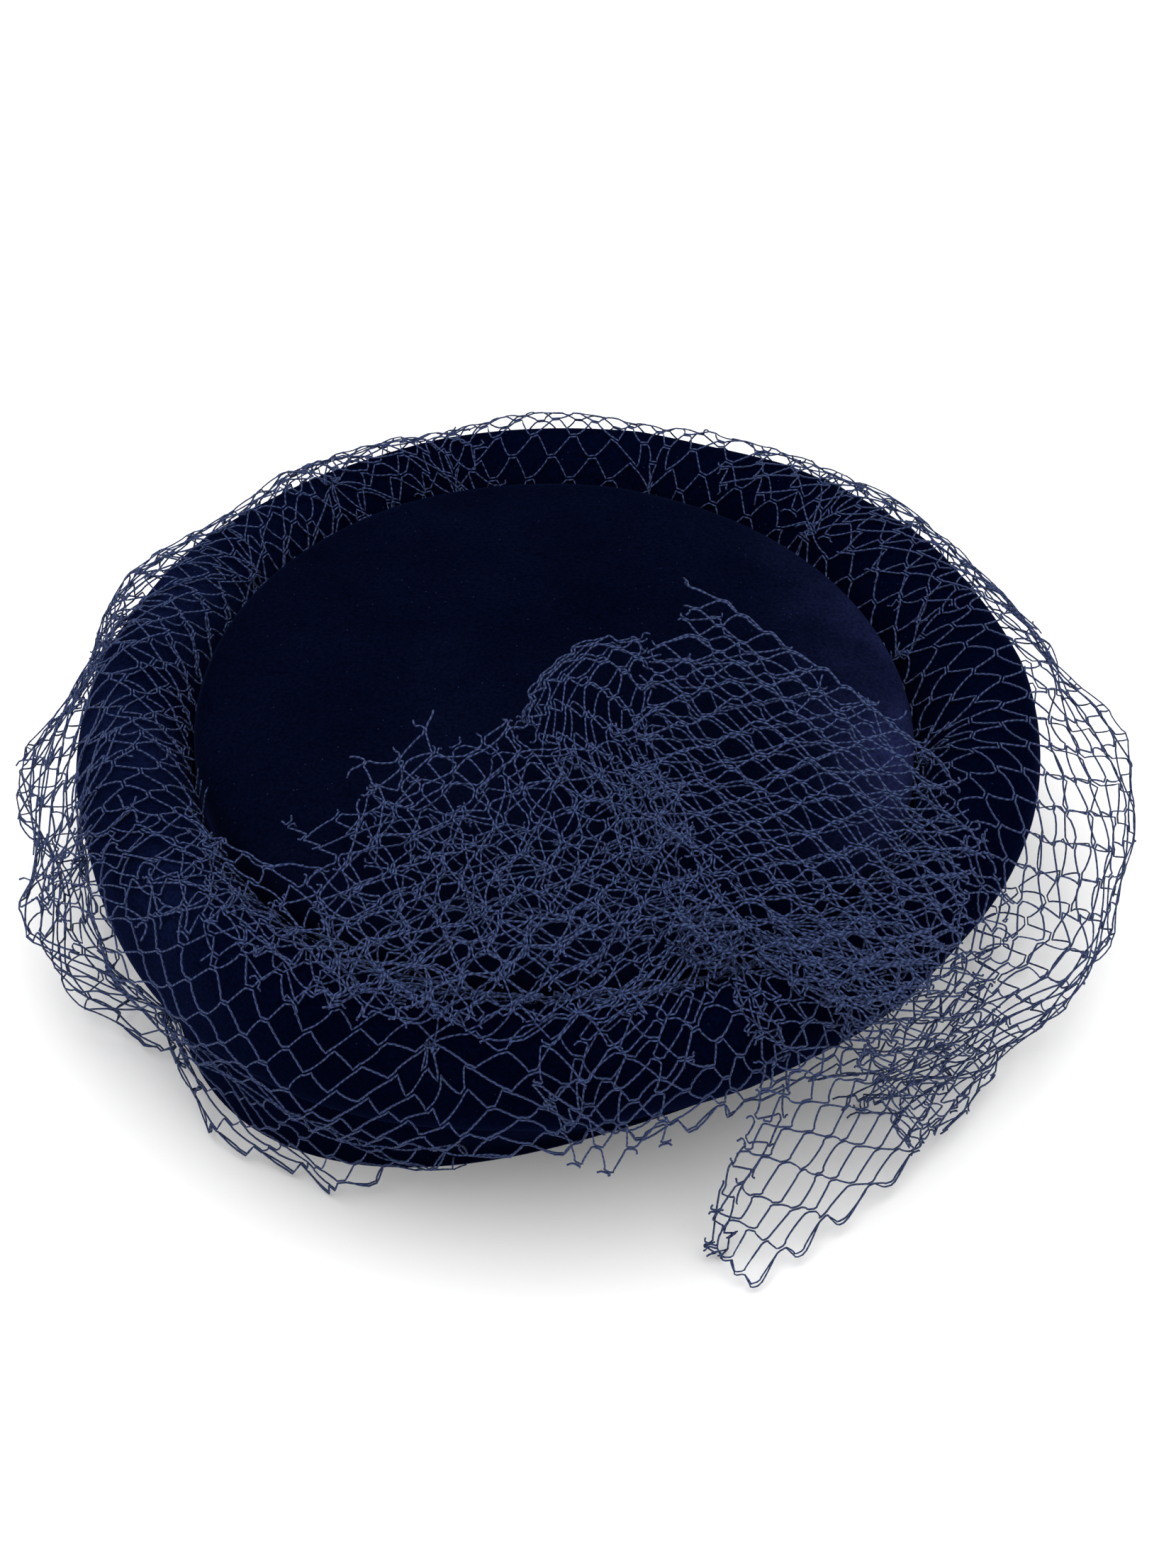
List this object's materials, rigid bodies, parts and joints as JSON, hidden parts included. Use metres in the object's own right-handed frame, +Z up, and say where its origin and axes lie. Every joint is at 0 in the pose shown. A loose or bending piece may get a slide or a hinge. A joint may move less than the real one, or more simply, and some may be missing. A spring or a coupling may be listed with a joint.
{
  "type": "velvet hat with net veil",
  "caption": "Low velvet hat with a flat oval crown, a wide rolled brim, a net veil over the brim and a net bow at the front right.",
  "frame": {"origin": "on the surface that the hat rests on, under the middle of its bounding box", "axes": "+Z up through the crown, -Y towards the side that the picture looks from, +X to the right of it"},
  "size_m": [0.2816, 0.251, 0.1074],
  "materials": {
    "crown_velvet": "navy velvet, short pile",
    "brim_velvet": "navy velvet, short pile",
    "veil_net": "navy knotted net of twisted thread",
    "bow_net": "navy knotted net of twisted thread"
  },
  "bodies": {
    "root": {"crown": "crown_velvet", "brim": "brim_velvet", "veil": "veil_net", "bow_knot": "bow_net", "bow_left_wing": "bow_net", "bow_back_loop": "bow_net", "bow_right_wing": "bow_net", "bow_left_tail": "bow_net", "bow_right_tail": "bow_net"}
  },
  "joints": []
}
